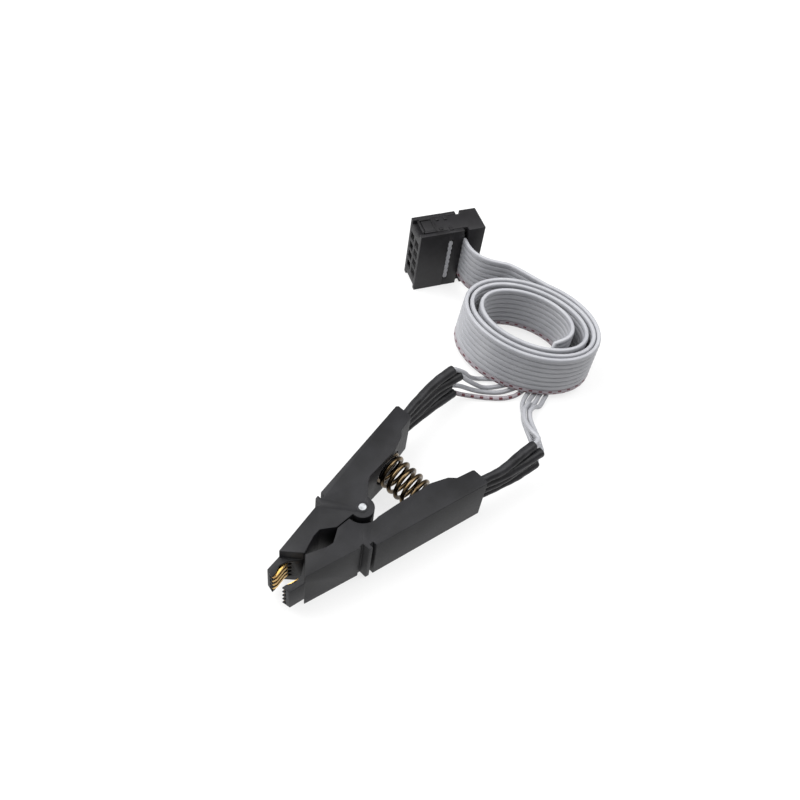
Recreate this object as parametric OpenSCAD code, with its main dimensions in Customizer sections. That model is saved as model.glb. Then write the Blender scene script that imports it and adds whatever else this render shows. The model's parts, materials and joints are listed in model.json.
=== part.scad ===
/* [Clip arms] */
// Thickness of the clip between its two flat faces
body_t = 9.7; // [9.2:0.1:11]
// Distance from the pivot to the ends of the handles
handle_len = 19.3; // [18:0.1:24]
// Width over both handles at their ends
handle_w = 21.9; // [20:0.1:26]
// Width over both arms where the handles stop, beside the jaws
waist_w = 12.7; // [12:0.1:14]
// Distance from the pivot to the front end of the handles
waist_y = 4.3; // [3.8:0.1:5]
// Wall of a handle at its end
end_wall = 3.6; // [3.2:0.1:4]
// Depth of a handle beside the spring
seat_wall = 5.2; // [4.9:0.1:5.6]
// Gap from the parting plane to each arm where the arms meet
part_gap = 0.1; // [0.05:0.01:0.2]

/* [Jaws] */
// Distance from the pivot to the ends of the jaw tips
jaw_len = 18.4; // [17.5:0.1:20]
// Distance from the pivot to the front end of the two side plates
nose_len = 15.3; // [14.8:0.1:15.6]
// Width over the side plates at their front end
nose_w = 6.2; // [6:0.1:6.8]
// Width over the side plates behind the grooves
shoulder_w = 10.5; // [10.2:0.1:10.9]
// Pitch of the chip's legs
leg_pitch = 1.27; // [1.27:0.01:1.4]
// Legs on each side of the chip
legs = 4; // [4:1:4]
// Thickness of each fin of the comb between the contacts
fin_t = 0.44; // [0.36:0.01:0.5]
// Opening between the two combs at rest
tip_gap = 2.4; // [2:0.1:2.8]
// Outer wall of a comb
comb_wall = 0.9; // [0.8:0.05:1]
// Width of the grooves behind the jaws
groove_w = 0.72; // [0.5:0.01:0.8]
// Depth of the grooves behind the jaws
groove_d = 0.65; // [0.4:0.05:0.8]

/* [Pivot] */
// Diameter of the pivot pin
pin_d = 1.7; // [1.5:0.05:1.9]
// Radius of the lugs and of the knuckle round the pin
lug_r = 2.05; // [1.9:0.05:2.2]
// Thickness of each lug
lug_t = 2.3; // [2:0.1:2.6]
// Radius of the relief in the right arm round the lugs
relief_r = 3.05; // [2.9:0.05:3.1]
// Gap between the lugs and the knuckle between them
lug_gap = 0.15; // [0.1:0.01:0.25]
// Gap round the knuckle inside the left arm
knuckle_gap = 0.3; // [0.25:0.01:0.4]
// Radial clearance of the pin in the knuckle
pin_fit = 0.05; // [0.02:0.01:0.08]

/* [Spring] */
// Distance from the pivot to the spring's axis
spring_y = 11; // [10.8:0.1:11.4]
// Outer diameter of the spring
spring_od = 6.3; // [5.8:0.1:6.4]
// Diameter of the spring wire
spring_wire = 0.8; // [0.7:0.05:0.85]
// Turns of the spring
spring_turns = 7.5; // [6:0.5:8]
// Length of the spring with the jaws at rest
spring_len = 11.2; // [10.8:0.1:11.4]
// Clearance round the spring and at its ends in the seats
spring_fit = 0.2; // [0.15:0.01:0.3]
// Diameter of the boss inside each end of the spring
boss_d = 4; // [3.6:0.1:4.2]

/* [Contacts] */
// Diameter of a contact's wire shank
shank_d = 0.6; // [0.5:0.02:0.64]
// Width of a contact's spring finger
finger_w = 0.56; // [0.5:0.01:0.6]
// Thickness of a contact's spring finger
finger_t = 0.3; // [0.24:0.01:0.34]
// Length of the solder tail behind the handle
tail_len = 4; // [3:0.1:5]
// Radial clearance of a shank in its bore
shank_fit = 0.05; // [0.03:0.01:0.08]
// Clearance on each side of a finger in its slot
finger_fit = 0.08; // [0.05:0.01:0.12]

/* [Sleeves] */
// Outer diameter of a shrunk sleeve
sleeve_d = 2.04; // [1.8:0.02:2.06]
// Length of a sleeve
sleeve_len = 13.6; // [12:0.1:16]
// Pitch of the four sleeves in each stack
sleeve_pitch = 2.1; // [2.08:0.01:2.2]
// Angle between a sleeve and the centre line of the clip
sleeve_angle = 6.5; // [5:0.1:9]
// Gap between a handle's end and its sleeves
sleeve_gap = 0.05; // [0.03:0.01:0.2]
// Radial clearance of the wire in the sleeve
sleeve_fit = 0.06; // [0.04:0.01:0.1]
// Length of the wire that is inside the sleeve
wire_in_sleeve = 3; // [2:0.1:6]

/* [Ribbon cable] */
// Diameter of one insulated wire
wire_d = 0.9; // [0.8:0.02:0.92]
// Height of the eight-way ribbon that stands on its edge
ribbon_w = 10.16; // [10.16:0.01:10.16]
// Thickness of the ribbon
ribbon_t = 0.9; // [0.8:0.02:0.95]
// Height of the ribbon's lower edge above the surface
ribbon_lift = 1.05; // [1:0.05:1.1]

/* [Socket] */
// Pitch of the socket's holes
socket_pitch = 2.54; // [2.54:0.01:2.54]
// Rows of holes, two holes to a row
socket_rows = 4; // [4:1:4]
// Length of the socket, which stands on its end
socket_len = 14.8; // [14.4:0.1:15.4]
// Thickness of the socket across its two rows
socket_t = 6.1; // [6:0.1:6.4]
// Depth of the socket's base behind the hole face
base_depth = 6.2; // [6:0.1:6.6]
// Depth of the cover behind the ribbon
cover_depth = 2.2; // [2:0.1:2.6]
// Clearance on each side of the ribbon in the socket
ribbon_fit = 0.04; // [0.03:0.01:0.06]
// Half the width of a hole
hole_half = 0.4; // [0.36:0.01:0.44]
// Reach of the strain relief behind the cover
relief_reach = 4.6; // [4:0.1:6]
// Thickness of the strain relief's bar
relief_t = 1.1; // [1:0.1:1.4]

/* [Hidden] */
SIDES = ["left", "right"];
WIRES = [1, 2, 3, 4];
function side_nodes(word) = [for (s = SIDES, i = WIRES) str(s, "_", word, "_", i)];

$fn = 64;
eps = 0.01;
black = "#26282b";
gold = "#d9a441";
steel = "#b9bcc0";
grey = "#b4b6ba";
mid_z = body_t / 2;
// the clip without its cable is centred front to back on the origin
tail_y = handle_len + sleeve_gap + sleeve_len * cos(sleeve_angle) + sleeve_d / 2 * sin(sleeve_angle);
front_y = -jaw_len - 0.04;
centre_y = (tail_y + front_y) / 2;

// ---- plan of the right arm, pivot at the origin, handles towards +Y
handle_x = handle_w / 2;
waist_x = waist_w / 2;
nose_x = nose_w / 2;
shoulder_x = shoulder_w / 2;
inner_end = handle_x - end_wall;
// outer face of the handle at a distance y behind the pivot
function outer_x(y) = waist_x + (handle_x - waist_x) * (y + waist_y) / (handle_len - 0.45 + waist_y);
seat_x = outer_x(spring_y) - seat_wall;
seat_front = spring_y - spring_od / 2 - spring_fit - 0.45;
groove_y = waist_y + 1.04;

module handle_plan() {
    polygon([
        [waist_x, -waist_y - 0.35], [handle_x, handle_len - 0.45], [handle_x - 0.35, handle_len - 0.05],
        [inner_end + 0.25, handle_len], [inner_end, handle_len - 0.3],
        [inner_end - 0.75, handle_len - 3.4], [inner_end - 1.8, handle_len - 4.5],
        [seat_x + 0.15, spring_y + 0.8], [seat_x - 0.75, spring_y - 6], [relief_r - 0.1, 0.35],
        [0.9, -lug_r], [part_gap, -lug_r - 0.15], [part_gap, -waist_y - 0.35]
    ]);
}

module jaw_plan() {
    polygon([
        [part_gap, -lug_r - 0.1], [part_gap, -groove_y - 0.3], [1.6, -8], [1.4, -9.4],
        [part_gap, -nose_len + 2.7], [0.3, -nose_len + 2.55], [nose_x - 0.1, -nose_len],
        [nose_x, -nose_len + 0.1], [shoulder_x, -groove_y], [waist_x - 0.3, -waist_y + 0.1],
        [waist_x - 0.5, 0]
    ]);
}

module arm_plan() {
    difference() {
        union() {
            handle_plan();
            jaw_plan();
        }
        // two upright grooves with a rib between them
        for (g = [0, 1])
            translate([waist_x - groove_d - 0.75 * (1 - g), -groove_y + g * (2 * groove_w)])
                square([3, groove_w]);
    }
}

// ---- comb at the jaw tip
comb_h = legs * leg_pitch + fin_t;
tip_x = tip_gap / 2;
comb_x = nose_x - 0.4;

module comb_plan() {
    polygon([
        [nose_x, -nose_len + 0.3], [nose_x, -nose_len - 0.2], [comb_x, -jaw_len + 0.35],
        [tip_x + 0.13, -jaw_len + 0.08], [tip_x, -jaw_len], [tip_x + 0.05, -jaw_len + 0.75],
        [tip_x + 0.7, -nose_len - 0.9], [tip_x + 0.4, -nose_len + 0.5],
        [part_gap + 0.3, -nose_len + 2.1], [part_gap, -nose_len + 2.7], [part_gap + 1.2, -nose_len + 3.6]
    ]);
}

module comb_slot_plan() {
    polygon([
        [comb_x - comb_wall, -jaw_len - 1], [nose_x - comb_wall, -nose_len + 0.6],
        [-1, -nose_len + 0.6], [-1, -jaw_len - 1]
    ]);
}

module comb() {
    difference() {
        translate([0, 0, mid_z - comb_h / 2])
            linear_extrude(comb_h) comb_plan();
        for (i = [1:legs])
            translate([0, 0, leg_z(i) - (leg_pitch - fin_t) / 2])
                linear_extrude(leg_pitch - fin_t) comb_slot_plan();
    }
}

// ---- contacts: height of each at the jaw tip and at the handle's end, 1 at the top
function leg_z(i) = mid_z + ((legs + 1) / 2 - i) * leg_pitch;
function sleeve_z(i) = mid_z + ((legs + 1) / 2 - i) * sleeve_pitch;
root_x = handle_x - 1.75;
shank_r = shank_d / 2;
function shank_front(i) = [1.85, -nose_len + 2.3, leg_z(i)];
function shank_rear(i) = [root_x, handle_len, sleeve_z(i)];
sleeve_dir = [sin(sleeve_angle), cos(sleeve_angle), 0];

// round bar from point a to point b
module bar(a, b, r) {
    d = b - a;
    translate(a)
        rotate([0, acos(d[2] / norm(d)), atan2(d[1], d[0])])
            cylinder(r = r, h = norm(d));
}

module shank_bore(i) {
    a = shank_front(i);
    b = shank_rear(i);
    along = (b - a) / norm(b - a);
    bar(a - 4 * along, b + along, shank_r + shank_fit);
}

// spring finger, bent in at the tip and tucked back at its end, with a clearance c round it
module finger(i, c) {
    a = shank_front(i);
    half_t = finger_t / 2 + c;
    translate([0, 0, leg_z(i) - finger_w / 2 - c])
        linear_extrude(finger_w + 2 * c)
            polygon([
                [a[0] - half_t, a[1] + 0.6 + c], [tip_x + 0.35 - c, -nose_len - 0.2],
                [tip_x - 0.08 - c, -jaw_len + 1], [tip_x + 0.05 - c, -jaw_len + 0.35],
                [tip_x + 0.3, -jaw_len + 0.25 - c], [tip_x + 0.3 + c, -jaw_len + 0.55],
                [tip_x + finger_t - 0.06 + c, -jaw_len + 0.95], [tip_x + 0.35 + finger_t + c, -nose_len - 0.15],
                [a[0] + half_t, a[1] + 0.6 + c]
            ]);
}

module spring_seat() {
    translate([seat_x - 3, spring_y, mid_z])
        rotate([0, 90, 0])
            difference() {
                cylinder(d = spring_od + 2 * spring_fit, h = 3 + spring_len / 2 - seat_x + spring_fit);
                translate([0, 0, 3])
                    cylinder(d = boss_d, h = 10);
            }
}

knuckle_t = body_t - 2 * lug_t - 2 * lug_gap;
pin_r = pin_d / 2;

module arm_blank() {
    difference() {
        union() {
            linear_extrude(body_t) arm_plan();
            comb();
        }
        spring_seat();
        for (i = WIRES) {
            shank_bore(i);
            finger(i, finger_fit);
        }
    }
}

module left_arm() {
    color(black)
        difference() {
            union() {
                mirror([1, 0, 0]) arm_blank();
                // lugs, and the web behind them
                cylinder(r = lug_r, h = body_t);
                linear_extrude(body_t)
                    polygon([
                        [0, lug_r], [-0.8, lug_r], [-relief_r - 0.05, waist_y + 0.1],
                        [-seat_x + 0.1, seat_front - 0.6], [-seat_x - 0.8, seat_front],
                        [-relief_r - 1.4, 0], [-relief_r, -lug_r], [-part_gap, -lug_r - 0.1], [0, -lug_r + 0.1]
                    ]);
            }
            // room for the knuckle between the lugs
            translate([0, 0, lug_t])
                linear_extrude(body_t - 2 * lug_t)
                    union() {
                        circle(r = lug_r + knuckle_gap);
                        translate([0, -lug_r - knuckle_gap])
                            square([lug_r + 1, 2 * (lug_r + knuckle_gap)]);
                    }
            translate([0, 0, -1])
                cylinder(r = pin_r + 0.01, h = body_t + 2);
        }
}

module right_arm() {
    color(black)
        difference() {
            union() {
                difference() {
                    arm_blank();
                    translate([0, 0, -1])
                        cylinder(r = relief_r, h = body_t + 2);
                }
                // knuckle and its neck
                translate([0, 0, lug_t + lug_gap]) {
                    cylinder(r = lug_r, h = knuckle_t);
                    linear_extrude(knuckle_t)
                        polygon([[0, -lug_r], [2.4, -lug_r - 0.5], [3.4, 0.35], [0, 0.35]]);
                }
            }
            translate([0, 0, -1])
                cylinder(r = pin_r + pin_fit, h = body_t + 2);
            for (i = WIRES) shank_bore(i);
        }
}

module pivot_pin() {
    color(steel)
        translate([0, 0, 0.05])
            cylinder(r = pin_r, h = body_t);
}

// ---- swept tubes
function cross_unit(a, b) = let (c = cross(a, b)) c / norm(c);
function heading(path, i) = let (
    a = path[max(i - 1, 0)], b = path[min(i + 1, len(path) - 1)]) (b - a) / norm(b - a);

// faces of a tube whose n rings have the given number of points
function tube_faces(n, sides) = concat(
    [[for (k = [0:sides - 1]) k]],
    [for (i = [0:n - 2], k = [0:sides - 1])
        let (a = i * sides + k, b = i * sides + (k + 1) % sides)
        [a, a + sides, b + sides, b]],
    [[for (k = [sides - 1:-1:0]) (n - 1) * sides + k]]);

module sweep(path, r, sides) {
    n = len(path);
    points = [for (i = [0:n - 1]) let (
            t = heading(path, i), side = cross_unit(t, [0, 0, 1]), up = cross(side, t))
        each [for (k = [0:sides - 1]) let (a = -360 * (k + 0.5) / sides)
            path[i] + side * r * cos(a) + up * r * sin(a)]];
    polyhedron(points, tube_faces(n, sides));
}

// compression spring, closed at both ends
spring_mid_r = (spring_od - spring_wire) / 2;
steps_per_turn = 16;
// the end turns lie against each other
end_turns = 1;
module spring() {
    steps = spring_turns * steps_per_turn;
    usable = spring_len - spring_wire;
    closed = spring_wire + 0.02;
    open_pitch = (usable - 2 * end_turns * closed) / (spring_turns - 2 * end_turns);
    function along(t) = t < end_turns ? t * closed
        : t > spring_turns - end_turns ? usable - (spring_turns - t) * closed
        : end_turns * closed + (t - end_turns) * open_pitch;
    points = [for (s = [0:steps]) let (t = s / steps_per_turn)
        [spring_mid_r * cos(360 * t), spring_mid_r * sin(360 * t), along(t)]];
    color("#8d8474")
        translate([-usable / 2, spring_y, mid_z])
            rotate([0, 90, 0])
                coil_wire(points, spring_wire / 2, 8);
}

// wire wound about Z, its section turned to face the axis
module coil_wire(path, r, sides) {
    n = len(path);
    points = [for (i = [0:n - 1]) let (
            p = path[i], t = heading(path, i),
            out = [p[0], p[1], 0] / norm([p[0], p[1]]), up = cross_unit(out, t))
        each [for (k = [0:sides - 1]) let (a = 360 * k / sides)
            p + out * r * cos(a) - up * r * sin(a)]];
    polyhedron(points, tube_faces(n, sides));
}

module contact(i) {
    b = shank_rear(i);
    color(gold) {
        bar(shank_front(i), b, shank_r);
        translate(b) sphere(r = shank_r + 0.02);
        bar(b, b + (tail_len + sleeve_gap) * sleeve_dir, shank_r);
        finger(i, 0);
    }
}

module sleeve(i) {
    a = shank_rear(i) + sleeve_gap * sleeve_dir;
    b = a + sleeve_len * sleeve_dir;
    color(black)
        difference() {
            bar(a, b, sleeve_d / 2);
            bar(a - sleeve_dir, b + sleeve_dir, wire_d / 2 + sleeve_fit);
        }
}

function sleeve_mouth(i) = shank_rear(i) + (sleeve_gap + sleeve_len) * sleeve_dir;

// ---- routes, chosen by hand, from the sleeves to the ribbon under the coil
left_routes = [
    [[-10, 34.6, 8], [-9.8, 37, 5.4], [-10, 39.2, 2.3], [-9.4, 41.3, 0.55],
     [-7, 44, 0.5], [-4.4, 47.3, 0.5]],
    [[-9.9, 34.6, 5.8], [-8.9, 36.6, 4.6], [-8, 38.4, 2.6],
     [-7, 40.3, 0.9], [-5.6, 42.6, 0.5], [-3.4, 47.1, 0.5]],
    [[-10.1, 34.3, 3.6], [-9.2, 35.6, 3.1], [-7.6, 37.8, 1.6],
     [-5.9, 40.1, 0.6], [-3.9, 42.6, 0.5], [-2.4, 46.9, 0.5]],
    [[-10, 34.2, 1.6], [-8.6, 35.4, 1.3], [-7.1, 37.1, 0.75], [-4.8, 39.3, 0.5],
     [-2.7, 41.6, 0.5], [-1.6, 44, 0.5], [-1.4, 46.8, 0.5]]
];
right_routes = [
    [[10.3, 33.9, 8.2], [8.1, 34.5, 7.9], [5, 37.2, 5.6], [2.7, 40.7, 3.1],
     [1.7, 43.6, 1.5], [1, 45.1, 0.55], [0.6, 47.2, 0.5]],
    [[10.9, 34.3, 6.2], [9.3, 35.2, 6.7], [6, 37.9, 5.3], [3.7, 41.3, 2.9],
     [3.05, 43.8, 1.5], [3.3, 45.4, 0.55], [2.75, 47.4, 0.5]],
    [[10.3, 34, 4.3], [8.3, 34.9, 5.2], [5, 37.5, 4.2], [2.5, 41, 1.6],
     [0.7, 43.3, 0.5], [-0.1, 45.2, 0.5], [-0.4, 47, 0.5]],
    [[10.9, 34.4, 2.4], [9.2, 35.7, 3.8], [6.1, 38.4, 3.6], [3.6, 41.7, 1.2],
     [2.15, 43.9, 0.5], [2.1, 45.5, 0.5], [1.6, 47.2, 0.5]]
];

module wire(side, i) {
    route = side > 0 ? right_routes[i - 1] : left_routes[i - 1];
    mouth = sleeve_mouth(i);
    start = mouth - wire_in_sleeve * sleeve_dir;
    path = concat([[side * start[0], start[1], start[2]], [side * mouth[0], mouth[1], mouth[2]]], route);
    color(grey) sweep(path, wire_d / 2, 8);
}

// ---- coil: the outer shape of the wound ribbon, an oval ring
coil_c = [-8.3, 53.6];
coil_x = 26.2;
coil_y = 19.4;
coil_wall = 4.6;

module oval(w, h) {
    // two half circles joined along X
    r = h / 2;
    for (s = [-1, 1])
        translate([s * (w / 2 - r), 0]) circle(r = r);
    square([w - 2 * r, h], center = true);
}

module ribbon_coil() {
    color(grey)
        translate([coil_c[0], coil_c[1], ribbon_lift])
            linear_extrude(ribbon_w)
                difference() {
                    oval(coil_x, coil_y);
                    oval(coil_x - 2 * coil_wall, coil_y - 2 * coil_wall);
                }
}

// ---- socket, in its own frame: holes open towards -Y, the ribbon's slot behind the base,
// X across the two rows and Z along them, standing on one end
socket_at = [-34.7, 49.4];
socket_turn = -26.3;
ribbon_z = socket_len / 2;
slot_d = ribbon_t + 2 * ribbon_fit;
cover_y = base_depth + slot_d;
cover_back = cover_y + cover_depth;
bar_y = cover_back + slot_d;
fold_r = (cover_depth + slot_d) / 2;
fold_x = -socket_t + 0.9;
row_z = [for (r = [0:socket_rows - 1]) ribbon_z + ((socket_rows - 1) / 2 - r) * socket_pitch];
column_x = [for (s = [-1, 1]) -socket_t / 2 + s * socket_pitch / 2];
// channels in the two ends, for the legs of the strain relief
channel_w = 4.2;
channel_d = 0.9;
leg_fit = 0.05;
// pegs that hold the cover to the base, beside the ribbon's edges
peg_w = 2.6;
peg_t = (socket_len - ribbon_w) / 2 - channel_d - 0.5;
peg_in = 1.6;
peg_z = ribbon_w / 2 + 0.25 + peg_t / 2;

module in_socket() {
    translate([socket_at[0], socket_at[1], 0])
        rotate([0, 0, socket_turn])
            children();
}

// a place in the socket's frame as a place in the clip's plan
function from_socket(x, y) = [
    socket_at[0] + x * cos(socket_turn) - y * sin(socket_turn),
    socket_at[1] + x * sin(socket_turn) + y * cos(socket_turn)];

// bars along both ends of the socket, from a depth y0 to y1
module end_bars(fit, y0, y1) {
    for (s = [-1, 1])
        translate([-socket_t / 2 - channel_w / 2 + fit, y0, ribbon_z + s * (socket_len - channel_d) / 2 - channel_d / 2])
            translate([0, 0, s > 0 ? fit : -eps])
                cube([channel_w - 2 * fit, y1 - y0, channel_d - fit + eps]);
}

module pegs(fit) {
    for (s = [-1, 1])
        translate([-socket_t / 2 - peg_w / 2 - fit, base_depth - peg_in - fit, ribbon_z + s * peg_z - peg_t / 2 - fit])
            cube([peg_w + 2 * fit, peg_in + slot_d + 0.5 + fit, peg_t + 2 * fit]);
}

module socket_base() {
    key_w = 4.6;
    key_t = 1.1;
    window_y = 1.3;
    window_d = 1.8;
    color(black)
        in_socket()
            difference() {
                union() {
                    translate([-socket_t, 0, 0])
                        cube([socket_t, base_depth, socket_len]);
                    // polarising key on the far broad side
                    translate([-socket_t, 0.4, row_z[0] - 1.9])
                        linear_extrude(key_w, center = true)
                            polygon([[eps, 0], [-key_t, 0.5], [-key_t, 3.8], [eps, 4.6]]);
                }
                for (x = column_x, z = row_z) {
                    translate([x, 0, z])
                        cube([2 * hole_half, 2 * (base_depth - 0.6), 2 * hole_half], center = true);
                    // funnel mouth
                    for (k = [1:3])
                        translate([x, 0, z])
                            cube(2 * [hole_half + 0.15 * k, 0.6 - 0.15 * k, hole_half + 0.15 * k], center = true);
                }
                end_bars(0, -1, base_depth + 1);
                for (s = [-1, 1])
                    translate([-socket_t / 2, window_y + window_d / 2, ribbon_z + s * (socket_len / 2 - channel_d)])
                        cube([2.2, window_d, 1.2], center = true);
                pegs(0.05);
            }
}

module socket_cover() {
    color(black)
        in_socket() {
            difference() {
                translate([-socket_t, cover_y, 0])
                    cube([socket_t, cover_depth, socket_len]);
                // rounded edge that the ribbon folds round
                translate([0, 0, ribbon_z - ribbon_w / 2 - 0.1])
                    difference() {
                        translate([-socket_t - 1, cover_y - 1, 0])
                            cube([fold_x + socket_t + 1, cover_depth + 2, ribbon_w + 0.2]);
                        translate([fold_x, cover_y + cover_depth / 2, -1])
                            cylinder(d = cover_depth, h = ribbon_w + 3);
                    }
                end_bars(0, cover_y - 1, cover_back + 1);
            }
            pegs(0);
        }
}

module strain_relief() {
    hook_y = 1.4;
    color(black)
        in_socket()
            union() {
                difference() {
                    // bar behind the ribbon, with a hollow back
                    translate([-socket_t, bar_y, 0])
                        cube([socket_t, relief_reach - slot_d, socket_len]);
                    translate([-socket_t + relief_t, bar_y + relief_t, relief_t + 0.6])
                        cube([socket_t - 2 * relief_t, relief_reach, socket_len - 2 * relief_t - 1.2]);
                }
                // legs along both ends, with hooks in the base's windows
                intersection() {
                    end_bars(leg_fit, hook_y, bar_y + eps);
                    translate([-socket_t, 0, 0])
                        cube([socket_t, bar_y + 1, socket_len]);
                }
                for (s = [-1, 1])
                    translate([-socket_t / 2, hook_y + 0.7, ribbon_z + s * (socket_len / 2 - channel_d)])
                        cube([2, 1.4, 0.8], center = true);
            }
}

module socket_contact(n) {
    x = column_x[(n - 1) % 2];
    z = row_z[floor((n - 1) / 2)];
    leaf_t = 0.16;
    leaf_w = 2 * hole_half - 0.12;
    back_y = base_depth - 0.65;
    color(gold)
        in_socket()
            translate([x, 0, z]) {
                for (s = [-1, 1])
                    translate([0, (back_y + 1.2) / 2, s * (hole_half - 0.05 - leaf_t / 2)])
                        cube([leaf_w, back_y - 1.2, leaf_t], center = true);
                translate([0, back_y - 0.15, 0])
                    cube([leaf_w, 0.3, 2 * hole_half - 0.1], center = true);
            }
}

// ---- ribbon: folded round the cover, then on its edge from the socket to the coil
lead_route = [
    [-28.9, 57.6, 7.3], [-27.2, 57.3, 7.1], [-25.3, 57.6, 6.8], [-23.5, 58.6, 6.5], [-21.7, 60, 6.3], [-19.4, 61.3, 6.15]
];

module ribbon_lead() {
    slot_mid = base_depth + slot_d / 2;
    fold = concat([[-0.05, slot_mid]], [for (a = [-90:-15:-270])
        [fold_x + fold_r * cos(a), slot_mid + fold_r + fold_r * sin(a)]], [[-0.05, slot_mid + 2 * fold_r]]);
    path = concat([for (p = fold) let (q = from_socket(p[0], p[1])) [q[0], q[1], ribbon_z]], lead_route);
    color(grey) flat_sweep(path, ribbon_t / 2, ribbon_w / 2);
}

// upright strip with eight corners to its section
module flat_sweep(path, half_t, half_w) {
    n = len(path);
    section = [[1, -0.96], [1, 0.96], [0.5, 1], [-0.5, 1], [-1, 0.96], [-1, -0.96], [-0.5, -1], [0.5, -1]];
    points = [for (i = [0:n - 1]) let (t = heading(path, i), side = cross_unit(t, [0, 0, 1]))
        each [for (s = section) path[i] + side * half_t * s[0] + [0, 0, half_w * s[1]]]];
    polyhedron(points, tube_faces(n, 8));
}

// ---- everything drawn about the origin under the middle of the clip
module placed() {
    translate([0, -centre_y, 0])
        children();
}

placed() left_arm();
placed() right_arm();
placed() pivot_pin();
placed() spring();
for (i = WIRES) {
    placed() mirror([1, 0, 0]) contact(i);
    placed() contact(i);
    placed() mirror([1, 0, 0]) sleeve(i);
    placed() sleeve(i);
    placed() wire(-1, i);
    placed() wire(1, i);
}
placed() ribbon_coil();
placed() ribbon_lead();
placed() socket_base();
placed() socket_cover();
placed() strain_relief();
for (n = [1:2 * socket_rows])
    placed() socket_contact(n);
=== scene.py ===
import json
import math

import bmesh
import bpy
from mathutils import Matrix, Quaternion, Vector, noise


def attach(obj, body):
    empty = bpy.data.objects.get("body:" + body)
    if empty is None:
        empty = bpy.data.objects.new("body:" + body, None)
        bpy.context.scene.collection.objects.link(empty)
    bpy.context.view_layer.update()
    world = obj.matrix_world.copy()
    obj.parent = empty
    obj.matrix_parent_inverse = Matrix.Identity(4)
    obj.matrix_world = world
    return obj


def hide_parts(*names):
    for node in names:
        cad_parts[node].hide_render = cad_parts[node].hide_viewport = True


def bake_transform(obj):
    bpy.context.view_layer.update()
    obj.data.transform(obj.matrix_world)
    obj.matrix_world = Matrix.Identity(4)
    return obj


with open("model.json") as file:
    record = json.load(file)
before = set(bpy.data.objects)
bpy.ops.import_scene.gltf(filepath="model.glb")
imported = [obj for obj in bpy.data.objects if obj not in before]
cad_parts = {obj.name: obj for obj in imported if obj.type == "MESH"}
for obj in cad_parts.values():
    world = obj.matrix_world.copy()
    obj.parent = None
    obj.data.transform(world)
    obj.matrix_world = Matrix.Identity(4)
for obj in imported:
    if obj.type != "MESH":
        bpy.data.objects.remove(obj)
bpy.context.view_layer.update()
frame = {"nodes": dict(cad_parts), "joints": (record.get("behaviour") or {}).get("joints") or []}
nodes = frame["nodes"]
pivot = Vector(frame["joints"][0]["pos_m"])
mm = 0.001


def place(x, y, z):
    # mm from the pivot, heights from the surface
    return Vector((pivot.x + x * mm, pivot.y + y * mm, z * mm))


def toLinear(hexValue):
    parts = [int(hexValue[i:i + 2], 16) / 255 for i in (1, 3, 5)]
    return tuple(c / 12.92 if c <= 0.04045 else ((c + 0.055) / 1.055) ** 2.4 for c in parts) + (1.0,)


def addNode(tree, kind, settings=None, inputs=None, links=None):
    item = tree.nodes.new(kind)
    for name, value in (settings or {}).items():
        setattr(item, name, value)
    for name, value in (inputs or {}).items():
        item.inputs[name].default_value = value
    for name, source in (links or {}).items():
        tree.links.new(source, item.inputs[name])
    return item


def smoothStep(t):
    t = max(0.0, min(1.0, t))
    return t * t * (3 - 2 * t)


def markEdges(bm, sharp=35):
    bm.normal_update()
    for face in bm.faces:
        face.smooth = True
    for edge in bm.edges:
        if len(edge.link_faces) == 2 and edge.calc_face_angle(0) > math.radians(sharp):
            edge.smooth = False  # a crisp line where two faces meet at a corner


def newObject(name, bm, material):
    mesh = bpy.data.meshes.new(name)
    bm.to_mesh(mesh)
    bm.free()
    mesh.materials.append(material)
    piece = bpy.data.objects.new(name, mesh)
    bpy.context.scene.collection.objects.link(piece)
    return piece


def catmull(points, spacing):
    # an even smooth line through the points, about one spacing apart
    line = []
    ends = [points[0] * 2 - points[1]] + list(points) + [points[-1] * 2 - points[-2]]
    for i in range(1, len(ends) - 2):
        p0, p1, p2, p3 = ends[i - 1:i + 3]
        steps = max(1, round((p2 - p1).length / spacing))
        for s in range(steps):
            t = s / steps
            line.append(0.5 * ((2 * p1) + (p2 - p0) * t + (2 * p0 - 5 * p1 + 4 * p2 - p3) * t * t
                               + (3 * p1 - p0 - 3 * p2 + p3) * t ** 3))
    line.append(points[-1].copy())
    return line


def lineLength(line):
    return sum((b - a).length for a, b in zip(line, line[1:]))


# the camera stands in front of the jaws, up and to the right, and the picture leans a little
view = {
    "place": (49.7, -59.8, 139.4),  # mm
    "aim": (-14.7, 24.95, 0.0),  # mm
    "roll": 9.26,  # degrees
    "lens": 41.34,
    "shiftX": 0.0004,
    "shiftY": 0.0098,
}
cameraData = bpy.data.cameras.new("camera")
cameraData.lens = view["lens"]
cameraData.sensor_width = 36
cameraData.shift_x = view["shiftX"]
cameraData.shift_y = view["shiftY"]
cameraData.clip_start = 0.005
camera = bpy.data.objects.new("camera", cameraData)
bpy.context.scene.collection.objects.link(camera)
camera.location = place(*view["place"])
aim = place(*view["aim"]) - camera.location
tilt = aim.to_track_quat("-Z", "Y") @ Quaternion((0, 0, 1), math.radians(view["roll"]))
camera.rotation_euler = tilt.to_euler()
bpy.context.scene.camera = camera
print("camera placed")

# materials of the cable, then its conductors


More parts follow.
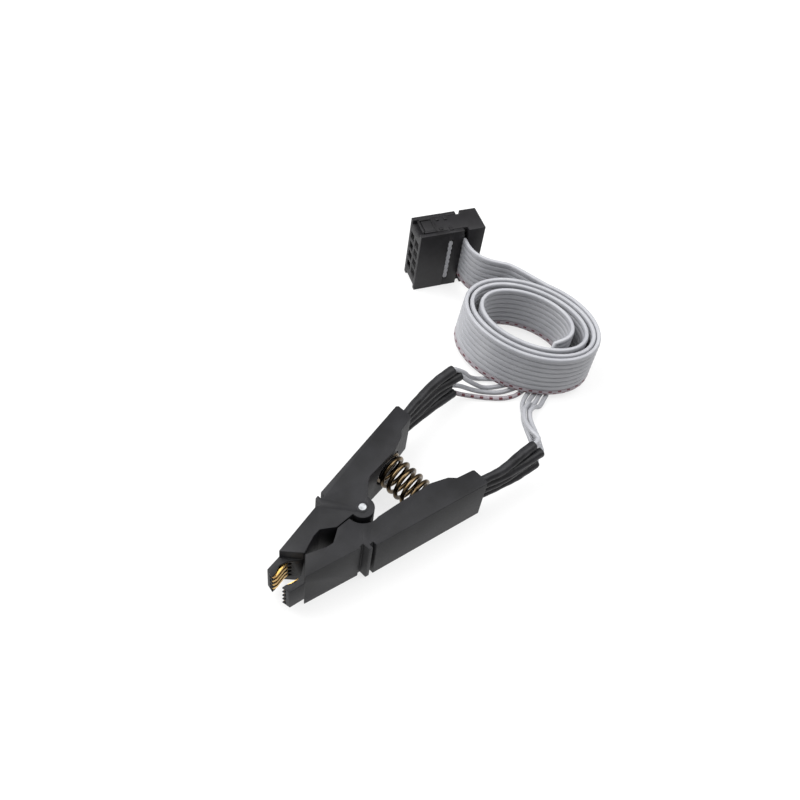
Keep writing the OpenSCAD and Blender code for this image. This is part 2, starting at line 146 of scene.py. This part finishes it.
def ribbonVinyl(name, printed):
    # soft extruded PVC: an even satin grey with slow waves from handling
    material = bpy.data.materials.new(name)
    material.use_nodes = True
    tree = material.node_tree
    shader = tree.nodes["Principled BSDF"]
    shader.inputs["Roughness"].default_value = 0.42
    shader.inputs["IOR"].default_value = 1.53  # plasticised PVC
    place3 = addNode(tree, "ShaderNodeTexCoord")
    cloud = addNode(tree, "ShaderNodeTexNoise", inputs={"Scale": 1 / (6 * mm), "Detail": 3.0},
                    links={"Vector": place3.outputs["Object"]})
    tone = addNode(tree, "ShaderNodeValToRGB", links={"Fac": cloud.outputs["Fac"]})
    tone.color_ramp.elements[0].color = toLinear(vinyl["shade"])
    tone.color_ramp.elements[1].color = toLinear(vinyl["light"])
    tone.color_ramp.elements[0].position = 0.3
    tone.color_ramp.elements[1].position = 0.7
    colour = tone.outputs["Color"]
    if printed:
        # two rows of dark red dots on a faint rose line, on the conductor's two flanks
        flat = addNode(tree, "ShaderNodeSeparateXYZ", links={"Vector": place3.outputs["UV"]})
        along = addNode(tree, "ShaderNodeMath", {"operation": "MULTIPLY"}, {1: 1 / vinyl["dotPitch"]},
                        {0: flat.outputs["X"]})
        row = addNode(tree, "ShaderNodeMath", {"operation": "GREATER_THAN"}, {1: 0.5},
                      {0: flat.outputs["Y"]})
        shifted = addNode(tree, "ShaderNodeMath", {"operation": "MULTIPLY_ADD"}, {1: 0.5},
                          {0: row.outputs[0], 2: along.outputs[0]})
        beat = addNode(tree, "ShaderNodeMath", {"operation": "FRACT"}, links={0: shifted.outputs[0]})
        dash = addNode(tree, "ShaderNodeMath", {"operation": "LESS_THAN"}, {1: vinyl["dotShare"]},
                       {0: beat.outputs[0]})
        middle = addNode(tree, "ShaderNodeMath", {"operation": "SUBTRACT"}, {1: 0.5},
                         {0: flat.outputs["Y"]})
        offset = addNode(tree, "ShaderNodeMath", {"operation": "ABSOLUTE"}, links={0: middle.outputs[0]})
        near = addNode(tree, "ShaderNodeMath", {"operation": "COMPARE"}, {1: 0.2, 2: 0.14},
                       {0: offset.outputs[0]})
        stripe = addNode(tree, "ShaderNodeMath", {"operation": "MULTIPLY"},
                         links={0: dash.outputs[0], 1: near.outputs[0]})
        rose = addNode(tree, "ShaderNodeMix", {"data_type": "RGBA", "blend_type": "MULTIPLY"})
        rose.inputs[0].default_value = 0.4
        rose.inputs[7].default_value = toLinear(vinyl["rose"])
        tree.links.new(colour, rose.inputs[6])
        ink = addNode(tree, "ShaderNodeMix", {"data_type": "RGBA"})
        tree.links.new(stripe.outputs[0], ink.inputs[0])
        tree.links.new(rose.outputs[2], ink.inputs[6])
        ink.inputs[7].default_value = toLinear(vinyl["ink"])
        colour = ink.outputs[2]
    tree.links.new(colour, shader.inputs["Base Color"])
    grain = addNode(tree, "ShaderNodeTexNoise", inputs={"Scale": 1 / (0.35 * mm), "Detail": 2.0},
                    links={"Vector": place3.outputs["Object"]})
    bump = addNode(tree, "ShaderNodeBump", inputs={"Strength": 0.12, "Distance": 0.03 * mm},
                   links={"Height": grain.outputs["Fac"]})
    tree.links.new(bump.outputs["Normal"], shader.inputs["Normal"])
    return material


vinyl = {
    "light": "#a9aaae",
    "shade": "#9b9ca1",
    "rose": "#d9b3ba",
    "ink": "#5a1f29",
    "dotPitch": 1.9,  # mm between the dots of a row
    "dotShare": 0.36,
}
greyVinyl = ribbonVinyl("extruded grey PVC insulation", False)
markedVinyl = ribbonVinyl("extruded grey PVC insulation, marked edge", True)

cable = {
    "pitch": 1.27,  # mm between conductors
    "thick": 0.9,
    "web": 0.34,  # thickness of the web between two conductors
    "lift": 1.05,  # height of the coil's lower edge
    "spacing": 1.2,  # mm between the rings of a conductor
    "inSleeve": 3.0,  # length of a wire that is inside its sleeve
}
coil = {
    "centre": (-8.1, 53.2),
    # half lengths: start, then the change with the turns, their square and their fourth power
    "long": (13.9, -0.9, 0.0, -0.0236),
    "short": (9.95, -1.05, -0.09, 0.0),
    "tilt": 18.0,  # degrees
    "from": 110.0,  # where the outermost turn starts, degrees
    "turns": 3.33,
    "flare": 0.9,  # mm that the lower edge of the outermost turn leans out
    "flareAt": 0.61,  # turn where it leans out most
    "flareWidth": 0.36,
}
# centre lines of the sleeves from the handles to their mouths, mm, sleeve 1 at the top
leftSleeves = [
    [(-9.2, 19.2, 7.95), (-10, 24, 8.15), (-10.5, 29, 8.4), (-10.3, 33.5, 8.8)],
    [(-9.2, 19.2, 6.3), (-9.8, 24, 6.4), (-10.2, 29.5, 6.45), (-9.5, 35.2, 6.4)],
    [(-9.2, 19.2, 4.65), (-9.6, 24, 4.65), (-10.2, 29, 4.45), (-10.4, 33.6, 3.95)],
    [(-9.2, 19.2, 3), (-9.4, 24, 2.95), (-9.6, 29, 2.5), (-9.6, 34.2, 1.9)],
]
rightSleeves = [
    [(9.2, 19.2, 7.95), (10.3, 23.8, 8), (10.6, 28.2, 8.4), (10.8, 31.9, 8.6)],
    [(9.2, 19.2, 6.3), (10.6, 23.8, 6.35), (11.5, 28.4, 6.75), (12.2, 32.8, 7.1)],
    [(9.2, 19.2, 4.65), (10.5, 23.8, 4.7), (11.1, 28.4, 4.95), (11.4, 32.5, 5.1)],
    [(9.2, 19.2, 3), (10.4, 23.8, 3.05), (11.4, 28.4, 3.15), (12, 32.9, 3.25)],
]
# routes of the split wires from the sleeves to the ribbon, mm, wire 1 at the top
leftRoutes = [
    [(-10, 34.6, 8), (-9.8, 37, 5.4), (-10, 39.2, 2.3), (-9.4, 41.3, 0.55), (-7, 44, 0.5),
     (-4.4, 47.3, 0.5)],
    [(-9.9, 34.6, 5.8), (-8.9, 36.6, 4.6), (-8, 38.4, 2.6), (-7, 40.3, 0.9), (-5.6, 42.6, 0.5),
     (-3.4, 47.1, 0.5)],
    [(-10.1, 34.3, 3.6), (-9.2, 35.6, 3.1), (-7.6, 37.8, 1.6), (-5.9, 40.1, 0.6), (-3.9, 42.6, 0.5),
     (-2.4, 46.9, 0.5)],
    [(-10, 34.2, 1.6), (-8.6, 35.4, 1.3), (-7.1, 37.1, 0.75), (-4.8, 39.3, 0.5), (-2.7, 41.6, 0.5),
     (-1.6, 44, 0.5), (-1.4, 46.8, 0.5)],
]
rightRoutes = [
    [(10.3, 33.9, 8.2), (8.1, 34.5, 7.9), (5, 37.2, 5.6), (2.7, 40.7, 3.1), (1.7, 43.6, 1.5),
     (1, 45.1, 0.55), (0.6, 47.2, 0.5)],
    [(10.9, 34.3, 6.2), (9.3, 35.2, 6.7), (6, 37.9, 5.3), (3.7, 41.3, 2.9), (3.05, 43.8, 1.5),
     (3.3, 45.4, 0.55), (2.75, 47.4, 0.5)],
    [(10.3, 34, 4.3), (8.3, 34.9, 5.2), (5, 37.5, 4.2), (2.5, 41, 1.6), (0.7, 43.3, 0.5),
     (-0.1, 45.2, 0.5), (-0.4, 47, 0.5)],
    [(10.9, 34.4, 2.4), (9.2, 35.7, 3.8), (6.1, 38.4, 3.6), (3.6, 41.7, 1.2), (2.15, 43.9, 0.5),
     (2.1, 45.5, 0.5), (1.6, 47.2, 0.5)],
]
leadRoute = [(-19.4, 61.3, 6.15), (-21.7, 60, 6.3), (-23.5, 58.6, 6.5), (-25.3, 57.6, 6.8),
             (-27.2, 57.3, 7.1), (-28.9, 57.6, 7.3)]
socket = {
    "corner": (-34.7, 49.4),  # the hole face's near corner, mm
    "turn": -26.3,  # degrees
    "length": 14.8,
    "thick": 6.1,
    "baseDepth": 6.2,
    "coverDepth": 2.2,
    "slot": 0.98,  # depth of the ribbon's slot
}
socketMid = socket["length"] / 2
slotMid = socket["baseDepth"] + socket["slot"] / 2
foldRadius = (socket["coverDepth"] + socket["slot"]) / 2
foldX = 0.9 - socket["thick"]


def fromSocket(x, y, z):
    # a place in the socket's own frame as mm from the pivot
    a = math.radians(socket["turn"])
    return Vector((socket["corner"][0] + x * math.cos(a) - y * math.sin(a),
                   socket["corner"][1] + x * math.sin(a) + y * math.cos(a), z))


def coilPoint(turn, height):
    # a flattened ring that tightens as it winds inwards, clockwise from above
    a = math.radians(coil["from"] - 360 * turn - coil["tilt"])
    lengths = [c[0] + c[1] * turn + c[2] * turn ** 2 + c[3] * turn ** 4
               for c in (coil["long"], coil["short"])]
    off = (turn - coil["flareAt"]) / coil["flareWidth"]
    if abs(off) < 1:
        low = 1 - (height - cable["lift"]) / (8 * cable["pitch"])
        lean = coil["flare"] * low * math.cos(off * math.pi / 2) ** 2
        lengths = [length + lean for length in lengths]
    t = math.atan2(math.sin(a) * lengths[0], math.cos(a) * lengths[1])
    x, y = lengths[0] * math.cos(t), lengths[1] * math.sin(t)
    c, s = math.cos(math.radians(coil["tilt"])), math.sin(math.radians(coil["tilt"]))
    return Vector((coil["centre"][0] + x * c - y * s, coil["centre"][1] + x * s + y * c, height))


def wireOf(number):
    # conductor 0 is the marked one at the bottom; the first four go to the left arm
    return ("left", 4 - number) if number < 4 else ("right", 8 - number)


def conductorLine(number):
    side, wire = wireOf(number)
    route = [Vector(p) for p in (leftRoutes if side == "left" else rightRoutes)[wire - 1]]
    sleeve = [Vector(p) for p in (leftSleeves if side == "left" else rightSleeves)[wire - 1]]
    along = (sleeve[-1] - sleeve[-2]).normalized()
    mouth = sleeve[-1]
    rise = (number - 3.5) * cable["pitch"]
    height = cable["lift"] + 4 * cable["pitch"] + rise
    end = route[-1]
    inner = coilPoint(coil["turns"], height)
    # the part of the route that is outside the sleeve
    free = [p for p in route if (p - mouth).dot(along) > 0.35]
    wires = [mouth - along * cable["inSleeve"], mouth - along * cable["inSleeve"] / 2, mouth] + free
    wires.append(Vector((end.x * 0.85 - 0.3, 49.2, 0.55)))
    wires.append(Vector((inner.x + 0.05 + end.x * 0.15, inner.y - 1.3, 0.55 + (height - 0.55) * 0.6)))
    wireLine = catmull(wires, cable["spacing"] * 0.5)
    for point in wireLine:
        point.z = max(point.z, cable["thick"] / 2 + 0.02)  # it lies on the surface, not in it
    steps = round(coil["turns"] * 60)
    wound = [coilPoint(coil["turns"] * (1 - i / steps), height) for i in range(steps + 1)]
    exitPoint = fromSocket(-0.4, slotMid + 2 * foldRadius, socketMid)
    lead = [wound[-1]] + [Vector((p[0], p[1], p[2] + rise)) for p in leadRoute]
    lead += [Vector((exitPoint.x, exitPoint.y, exitPoint.z + rise))]
    return wireLine + wound[:-1] + catmull(lead, cable["spacing"] * 0.8), len(wireLine)


def ribSection(share, sides=20):
    # share 0 is a round wire, share 1 a rib of the ribbon that meets its neighbours in a thin web
    ring = []
    for k in range(sides):
        a = 2 * math.pi * (k + 0.5) / sides
        roundPoint = (cable["thick"] / 2 * math.cos(a), cable["thick"] / 2 * math.sin(a))
        v = max(-1, min(1, 1.06 * math.sin(a)))
        reach = cable["web"] / 2 + (cable["thick"] - cable["web"]) / 2 * math.sqrt(max(0, 1 - v * v))
        ribPoint = (math.copysign(reach, math.cos(a)), v * (cable["pitch"] / 2 - 0.004))
        ring.append([roundPoint[i] * (1 - share) + ribPoint[i] * share for i in (0, 1)])
    return ring


def circle(radius, sides):
    turn = 2 * math.pi / sides
    return [(radius * math.cos(turn * k), radius * math.sin(turn * k)) for k in range(sides)]


def sweepInto(bm, line, sections, upAtEnd, mouth=()):
    # a tube along the line; its sections keep the given upright at the line's far end
    uvLayer = bm.loops.layers.uv.verify()
    tangents = []
    for i in range(len(line)):
        a, b = line[max(0, i - 1)], line[min(len(line) - 1, i + 1)]
        tangents.append((b - a).normalized())
    ups = [None] * len(line)
    up = upAtEnd.copy()
    for i in reversed(range(len(line))):
        up = (up - tangents[i] * up.dot(tangents[i])).normalized()
        ups[i] = up
    rings, lengths, total = [], [], 0.0
    for i, point in enumerate(line):
        if i:
            total += (point - line[i - 1]).length
        lengths.append(total)
        side = tangents[i].cross(ups[i])
        ring = []
        for across, height in sections[i]:
            p = point + side * across + ups[i] * height
            ring.append(bm.verts.new(place(p.x, p.y, p.z)))
        rings.append(ring)
    sides = len(rings[0])
    for i in range(len(line) - 1):
        for k in range(sides):
            j = (k + 1) % sides
            face = bm.faces.new((rings[i][k], rings[i][j], rings[i + 1][j], rings[i + 1][k]))
            # across the tube the flanks run from 0 to 1, so print lies about the middle of each flank
            heights = [sections[i][q][1] / cable["pitch"] + 0.5 for q in (k, j)]
            values = [(lengths[i], heights[0]), (lengths[i], heights[1]),
                      (lengths[i + 1], heights[1]), (lengths[i + 1], heights[0])]
            for loop, value in zip(face.loops, values):
                loop[uvLayer].uv = value
    bm.faces.new(list(reversed(rings[0])))
    last = rings[-1]
    for radius, back in mouth:
        # the lip of an open mouth, and its bore
        side = tangents[-1].cross(ups[-1])
        ring = []
        for across, height in circle(radius, sides):
            p = line[-1] - tangents[-1] * back + side * across + ups[-1] * height
            ring.append(bm.verts.new(place(p.x, p.y, p.z)))
        for k in range(sides):
            j = (k + 1) % sides
            bm.faces.new((last[k], last[j], ring[j], ring[k]))
        last = ring
    bm.faces.new(last)


def sweepPiece(name, line, sections, upAtEnd, material, mouth=()):
    bm = bmesh.new()
    sweepInto(bm, line, sections, upAtEnd, mouth)
    bmesh.ops.recalc_face_normals(bm, faces=bm.faces)
    markEdges(bm, 60)
    return newObject(name, bm, material)


for number in range(8):
    line, split = conductorLine(number)
    sections = [ribSection(smoothStep((i - split + 1) / 4)) for i in range(len(line))]
    piece = sweepPiece(f"conductor_{number + 1}", line, sections, Vector((0, 0, 1)),
                       markedVinyl if number == 0 else greyVinyl)
    side, wire = wireOf(number)
    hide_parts(f"{side}_wire_{wire}")
    if side == "right":
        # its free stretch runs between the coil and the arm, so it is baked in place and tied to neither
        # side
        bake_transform(piece)
    else:
        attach(piece, "left_side")
    print(piece.name, round(lineLength(line), 1), "mm")

# the ribbon's own end: out of the slot, round the cover and back under the bar
bm = bmesh.new()
for number in range(8):
    z = socketMid + (number - 3.5) * cable["pitch"]
    turns = [math.radians(-90 - 7.5 * i) for i in range(25)]
    points = [(0.05, slotMid), (-1.5, slotMid), (-3.2, slotMid)]
    points += [(foldX + foldRadius * math.cos(a), slotMid + foldRadius + foldRadius * math.sin(a))
               for a in turns]
    points += [(-3.2, slotMid + 2 * foldRadius), (-1.2, slotMid + 2 * foldRadius)]
    line = [fromSocket(x, y, z) for x, y in points]
    sweepInto(bm, line, [ribSection(1.0)] * len(line), Vector((0, 0, 1)))
bmesh.ops.recalc_face_normals(bm, faces=bm.faces)
markEdges(bm, 60)
ribbonFold = newObject("ribbon_fold", bm, greyVinyl)
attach(ribbonFold, "left_side")
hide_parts("ribbon_coil")
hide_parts("ribbon_lead")
print("cords laid")


def solidMaterial(name, look):
    # one base for the moulded and metal finishes: slow tone changes and fine grain
    material = bpy.data.materials.new(name)
    material.use_nodes = True
    tree = material.node_tree
    shader = tree.nodes["Principled BSDF"]
    shader.inputs["Metallic"].default_value = look.get("metallic", 0.0)
    if "ior" in look:
        shader.inputs["IOR"].default_value = look["ior"]
        shader.inputs["Specular IOR Level"].default_value = look["specular"]
    spot = addNode(tree, "ShaderNodeTexCoord")
    slow = addNode(tree, "ShaderNodeTexNoise", inputs={"Scale": 1 / (look["cloud"] * mm), "Detail": 4.0},
                   links={"Vector": spot.outputs["Object"]})
    tone = addNode(tree, "ShaderNodeValToRGB", links={"Fac": slow.outputs["Fac"]})
    tone.color_ramp.elements[0].position = 0.32
    tone.color_ramp.elements[1].position = 0.68
    tone.color_ramp.elements[0].color = toLinear(look["dark"])
    tone.color_ramp.elements[1].color = toLinear(look["light"])
    fine = addNode(tree, "ShaderNodeTexNoise", inputs={"Scale": 1 / (look["grain"] * mm), "Detail": 3.0},
                   links={"Vector": spot.outputs["Object"]})
    rough = addNode(tree, "ShaderNodeMapRange",
                    inputs={"To Min": look["rough"][0], "To Max": look["rough"][1]},
                    links={"Value": fine.outputs["Fac"]})
    bump = addNode(tree, "ShaderNodeBump",
                   inputs={"Strength": look["bump"], "Distance": look["depth"] * mm},
                   links={"Height": fine.outputs["Fac"]})
    tree.links.new(tone.outputs["Color"], shader.inputs["Base Color"])
    tree.links.new(rough.outputs["Result"], shader.inputs["Roughness"])
    tree.links.new(bump.outputs["Normal"], shader.inputs["Normal"])
    return material


# glass-filled nylon as moulded: a fine matt grain that greys the black a little
filledNylon = solidMaterial("moulded glass-filled nylon", {
    "light": "#1f1f22", "dark": "#131315", "cloud": 5.0, "grain": 0.22, "rough": (0.45, 0.62),
    "bump": 0.4, "depth": 0.03, "ior": 1.53, "specular": 0.24})
# glass-filled PBT as moulded: the same black with a finer, flatter grain
connectorPlastic = solidMaterial("moulded glass-filled PBT", {
    "light": "#1c1b1e", "dark": "#111012", "cloud": 3.0, "grain": 0.25, "rough": (0.42, 0.6),
    "bump": 0.35, "depth": 0.03, "ior": 1.55, "specular": 0.24})
# shrunk tubing: soft black sheen, broken by small wrinkles
shrunkPolyolefin = solidMaterial("shrunk polyolefin tubing", {
    "light": "#242427", "dark": "#121214", "cloud": 2.5, "grain": 0.5, "rough": (0.36, 0.55),
    "bump": 0.45, "depth": 0.06, "ior": 1.49, "specular": 0.28})
# thin plating on bent wire: bright yellow with faint drawing lines
goldPlate = solidMaterial("gold-plated phosphor bronze", {
    "light": "#e8c274", "dark": "#cfa255", "cloud": 1.5, "grain": 0.12, "rough": (0.2, 0.34),
    "bump": 0.12, "depth": 0.01, "metallic": 1.0})
# oil-tempered wire: dark bronze with narrow bright edges
springSteel = solidMaterial("oil-tempered spring wire", {
    "light": "#7d6a4e", "dark": "#2d251b", "cloud": 2.0, "grain": 0.12, "rough": (0.2, 0.36),
    "bump": 0.15, "depth": 0.01, "metallic": 1.0})
# a turned pin's end: grey with a soft shine
turnedSteel = solidMaterial("turned stainless steel", {
    "light": "#b9bbbd", "dark": "#8e9093", "cloud": 0.6, "grain": 0.1, "rough": (0.28, 0.45),
    "bump": 0.12, "depth": 0.01, "metallic": 1.0})
print("materials made")


def bevelled(nodeName, pieceName, material, body, width=0.1):
    # the node's own shape with its corners eased as a mould leaves them
    bm = bmesh.new()
    bm.from_mesh(nodes[nodeName].data)
    bmesh.ops.remove_doubles(bm, verts=bm.verts, dist=2e-6)
    bmesh.ops.dissolve_limit(bm, angle_limit=math.radians(0.6), verts=bm.verts, edges=bm.edges)
    piece = newObject(pieceName, bm, material)
    ease = piece.modifiers.new("ease", "BEVEL")
    ease.width = width * mm
    ease.segments = 2
    ease.limit_method = "ANGLE"
    ease.angle_limit = math.radians(38)  # corners, not facets of a curve
    ease.use_clamp_overlap = False
    ease.miter_outer = "MITER_ARC"
    depsgraph = bpy.context.evaluated_depsgraph_get()
    mesh = bpy.data.meshes.new_from_object(piece.evaluated_get(depsgraph))
    piece.modifiers.clear()
    piece.data = mesh
    bm = bmesh.new()
    bm.from_mesh(mesh)
    markEdges(bm, 42)
    bm.to_mesh(mesh)
    bm.free()
    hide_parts(nodeName)
    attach(piece, body)
    return piece


bevelled("left_arm", "left_arm_moulding", filledNylon, "left_side")
bevelled("right_arm", "right_arm_moulding", filledNylon, "right_side")
print("arms eased")

# heat-shrink sleeves: bent as the wires pull them, thinner at the handle, a little wrinkled
sleeveLook = {
    "rootRadius": 0.78,  # mm
    "mouthRadius": 0.92,
    "boreRadius": 0.56,
    "wrinkle": 0.07,
    "wrinkleSize": 1.3,
    "sides": 20,
}


def sleevePiece(side, wire):
    look = sleeveLook
    points = [Vector(p) for p in (leftSleeves if side == "left" else rightSleeves)[wire - 1]]
    line = catmull(points, 0.4)
    sections = []
    for i, point in enumerate(line):
        share = i / (len(line) - 1)
        radius = look["rootRadius"] + (look["mouthRadius"] - look["rootRadius"]) * smoothStep(share * 1.2)
        radius *= 1 - 0.09 * smoothStep((i - len(line) + 2) / 1.0)  # rounded lip
        ring = []
        for x, y in circle(1.0, look["sides"]):
            spot = Vector((x + 7 * wire, y * 1.2 + (3 if side == "left" else 9),
                           point.y / look["wrinkleSize"]))
            ring.append([c * (radius + look["wrinkle"] * noise.noise(spot)) for c in (x, y)])
        sections.append(ring)
    piece = sweepPiece(f"{side}_shrink_{wire}", line, sections, Vector((0, 0, 1)), shrunkPolyolefin,
                       mouth=[(look["boreRadius"] + 0.12, -0.03), (look["boreRadius"], 0.1),
                              (look["boreRadius"] - 0.04, 1.6)])
    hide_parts(f"{side}_sleeve_{wire}")
    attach(piece, f"{side}_side")


def contactPiece(side, wire):
    # the contact with its tail ended inside the handle, where the sleeve hides the joint
    bm = bmesh.new()
    bm.from_mesh(nodes[f"{side}_contact_{wire}"].data)
    bmesh.ops.remove_doubles(bm, verts=bm.verts, dist=2e-6)
    handleEnd = place(0, 19.3, 0).y
    for vertex in bm.verts:
        vertex.co.y = min(vertex.co.y, handleEnd - 0.3 * mm)
    markEdges(bm, 42)
    piece = newObject(f"{side}_spring_contact_{wire}", bm, goldPlate)
    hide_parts(f"{side}_contact_{wire}")
    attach(piece, f"{side}_side")


for side in ("left", "right"):
    for wire in (1, 2, 3, 4):
        sleevePiece(side, wire)
        contactPiece(side, wire)
print("sleeves shrunk")

# the spring: round wire in a smooth helix, closed end turns
springWire = {"outer": 6.3, "wire": 0.8, "turns": 7.5, "length": 11.2, "y": 11.0, "z": 4.85}


def springPiece():
    s = springWire
    radius, usable, closed = (s["outer"] - s["wire"]) / 2, s["length"] - s["wire"], s["wire"] + 0.02
    openPitch = (usable - 2 * closed) / (s["turns"] - 2)
    line = []
    for i in range(int(s["turns"] * 48) + 1):
        t = i / 48
        along = t * closed if t < 1 else usable - (s["turns"] - t) * closed if t > s["turns"] - 1 \
            else closed + (t - 1) * openPitch
        a = 2 * math.pi * t
        line.append(Vector((along - usable / 2, s["y"] + radius * math.sin(a),
                            s["z"] - radius * math.cos(a))))
    ring = circle(s["wire"] / 2, 16)
    piece = sweepPiece("return_spring", line, [ring] * len(line), Vector((1, 0, 0)), springSteel)
    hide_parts("spring")
    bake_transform(piece)
    return piece


springPiece()
print("spring wound")


def pinShadeRing():
    # a raised dark nylon ring round the pin's end: painted shade standing in for the shadow gap round the
    # pin
    bm = bmesh.new()
    outline = [(0.6, -0.2), (0.6, 0.03), (0.68, 0.07), (0.98, 0.05), (1.06, -0.02), (1.06, -0.2)]
    sides = 40
    rings = []
    for k in range(sides):
        a = 2 * math.pi * k / sides
        rings.append([bm.verts.new(place(r * math.cos(a), r * math.sin(a), 9.7 + h)) for r, h in outline])
    for k in range(sides):
        one, two = rings[k], rings[(k + 1) % sides]
        for i in range(len(outline)):
            j = (i + 1) % len(outline)
            bm.faces.new((one[i], one[j], two[j], two[i]))
    bmesh.ops.recalc_face_normals(bm, faces=bm.faces)
    markEdges(bm, 50)
    piece = newObject("pin_painted_shade_ring", bm, filledNylon)
    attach(piece, "left_side")


pinShadeRing()

for nodeName, pieceName in (("socket_base", "socket_housing"), ("socket_cover", "socket_lid"),
                            ("strain_relief", "socket_clamp")):
    bevelled(nodeName, pieceName, connectorPlastic, "left_side", 0.09)


def socketBlock(bm, low, high, ease=0.08):
    # a block in the socket's own frame with eased edges
    made = bmesh.ops.create_cube(bm, size=1)["verts"]
    for vertex in made:
        local = [low[i] + (high[i] - low[i]) * (vertex.co[i] + 0.5) for i in range(3)]
        p = fromSocket(*local)
        vertex.co = place(p.x, p.y, p.z)
    edges = list({edge for vertex in made for edge in vertex.link_edges})
    bmesh.ops.bevel(bm, geom=edges, offset=ease * mm, segments=2, affect="EDGES", profile=0.5)


# what closes the joint beside the ribbon, and the ridges and latch frame of the top end
bm = bmesh.new()
for low, high in ((0.0, 2.2), (12.6, 14.8)):
    socketBlock(bm, (-socket["thick"] + 0.02, 6.1, low + 0.02), (-0.02, 7.3, high - 0.02))
topFace = socket["length"]
for x, y, wide, deep in ((-5.1, 0.75, 4.2, 0.4), (-5.1, 0.75, 0.5, 3.0), (-1.4, 0.75, 0.5, 3.0),
                         (-5.1, 3.5, 4.2, 0.35), (-4.7, 4.5, 0.7, 0.7), (-2.0, 4.4, 0.8, 0.8),
                         (-4.9, 6.3, 1.0, 0.6), (-1.8, 6.5, 1.1, 0.7)):
    socketBlock(bm, (x, y, topFace - 0.25), (x + wide, y + deep, topFace + 0.22), 0.1)
markEdges(bm, 50)
socketEnds = newObject("socket_end_ridges", bm, connectorPlastic)
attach(socketEnds, "left_side")

# plain nodes that keep their shape take their finish here
for name, node in nodes.items():
    material = goldPlate if name.startswith("socket_contact") else None
    if name == "pivot_pin":
        material = turnedSteel
    if material is not None:
        for slotItem in node.material_slots:
            slotItem.material = material
print("nodes finished")

# floor and light


def stageFloor():
    # matt paper: white where it is seen, mid grey in the light that it throws back at the object
    material = bpy.data.materials.new("matt white paper sweep")
    material.use_nodes = True
    tree = material.node_tree
    shader = tree.nodes["Principled BSDF"]
    shader.inputs["Base Color"].default_value = toLinear(stageLook["paper"])
    shader.inputs["Roughness"].default_value = 0.9
    shader.inputs["Specular IOR Level"].default_value = 0.0
    dim = addNode(tree, "ShaderNodeBsdfDiffuse", inputs={"Color": toLinear(stageLook["bounce"])})
    glow = addNode(tree, "ShaderNodeEmission", inputs={"Strength": 1.0})
    seen = addNode(tree, "ShaderNodeMixShader", inputs={0: stageLook["glow"]})
    tree.links.new(shader.outputs[0], seen.inputs[1])
    tree.links.new(glow.outputs[0], seen.inputs[2])
    ray = addNode(tree, "ShaderNodeLightPath")
    cameraOrGlossy = addNode(tree, "ShaderNodeMath", {"operation": "MAXIMUM"},
                             links={0: ray.outputs["Is Camera Ray"], 1: ray.outputs["Is Glossy Ray"]})
    shown = addNode(tree, "ShaderNodeMath", {"operation": "MAXIMUM"},
                    links={0: cameraOrGlossy.outputs[0], 1: ray.outputs["Is Transmission Ray"]})
    final = addNode(tree, "ShaderNodeMixShader", links={0: shown.outputs[0]})
    tree.links.new(dim.outputs[0], final.inputs[1])
    tree.links.new(seen.outputs[0], final.inputs[2])
    tree.links.new(final.outputs[0], tree.nodes["Material Output"].inputs["Surface"])
    bm = bmesh.new()
    bmesh.ops.create_grid(bm, x_segments=8, y_segments=8, size=1.2)
    for vertex in bm.verts:
        vertex.co.z = -0.00002
    floor = newObject("paper_sweep", bm, material)


stageLook = {"paper": "#fdfdfd", "bounce": "#bcbcbc", "glow": 0.75, "world": 0.37}
stageFloor()
world = bpy.data.worlds.new("studio")
bpy.context.scene.world = world
world.use_nodes = True
sky = world.node_tree.nodes["Background"]
sky.inputs["Color"].default_value = (1, 1, 1, 1)
sky.inputs["Strength"].default_value = stageLook["world"]
lamps = [
    # name, place in mm from the pivot, aim, size in m, watts
    ("key_softbox", (-190, -60, 260), (-8, 22, 0), 0.30, 1.45),
    ("top_softbox", (60, 190, 320), (-8, 22, 0), 0.30, 1.0),
]
for name, spot, target, size, power in lamps:
    data = bpy.data.lights.new(name, "AREA")
    data.shape = "SQUARE"
    data.size = size
    data.energy = power
    lamp = bpy.data.objects.new(name, data)
    bpy.context.scene.collection.objects.link(lamp)
    lamp.location = place(*spot)
    lamp.rotation_euler = (place(*target) - lamp.location).to_track_quat("-Z", "Y").to_euler()
bpy.context.scene.view_settings.view_transform = "Standard"
print("stage lit")
